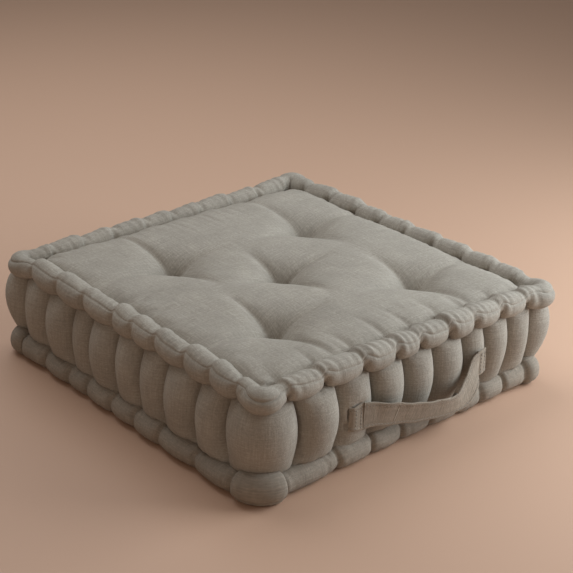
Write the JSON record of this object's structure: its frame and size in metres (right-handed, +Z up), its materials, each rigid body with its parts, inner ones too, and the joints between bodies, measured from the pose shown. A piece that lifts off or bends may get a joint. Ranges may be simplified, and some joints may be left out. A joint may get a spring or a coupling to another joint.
{
  "type": "floor cushion",
  "caption": "Square tufted floor cushion in washed linen-look cloth, with a rope-like rolled edge, fluted sides and a strap handle.",
  "frame": {"origin": "middle of the underside, on the plane the cushion rests on", "axes": "+Z up; -Y is the side with the strap handle; +X to the right when facing the handle"},
  "size_m": [0.506, 0.5228, 0.145],
  "materials": {
    "cover_cloth": "washed slubby plain weave, matt",
    "strap_cloth": "the cover's cloth folded and pressed, matt",
    "thread": "twisted cotton, matt",
    "filling": "loose cotton fibre, matt"
  },
  "bodies": {
    "cushion": {"core_filling": "filling", "top_panel": "cover_cloth", "bottom_panel": "cover_cloth", "boxing_front_strip": "cover_cloth", "boxing_rear_strip": "cover_cloth", "top_roll_front": "cover_cloth", "top_roll_right": "cover_cloth", "top_roll_back": "cover_cloth", "top_roll_left": "cover_cloth", "bottom_roll_front": "cover_cloth", "bottom_roll_right": "cover_cloth", "bottom_roll_back": "cover_cloth", "bottom_roll_left": "cover_cloth", "top_roll_wadding": "filling", "bottom_roll_wadding": "filling", "top_stitches_front": "thread", "top_stitches_right": "thread", "top_stitches_back": "thread", "top_stitches_left": "thread", "bottom_stitches_front": "thread", "bottom_stitches_right": "thread", "bottom_stitches_back": "thread", "bottom_stitches_left": "thread", "valley_stitches_front": "thread", "valley_stitches_right": "thread", "valley_stitches_back": "thread", "valley_stitches_left": "thread", "top_seam_thread": "thread", "bottom_seam_thread": "thread", "tuft_twine_centre": "thread", "tuft_twine_front_left": "thread", "tuft_twine_front_right": "thread", "tuft_twine_back_left": "thread", "tuft_twine_back_right": "thread", "handle_tab_left": "strap_cloth", "handle_tab_right": "strap_cloth", "handle_tacks_left": "thread", "handle_tacks_right": "thread"},
    "handle": {"handle_strap": "strap_cloth"}
  },
  "joints": [
    {"name": "handle_swing", "type": "hinge", "parent": "cushion", "child": "handle", "pos_m": [0, -0.2495, 0.092], "axis": [-1, 0, 0], "range_deg": [0, 90]}
  ]
}
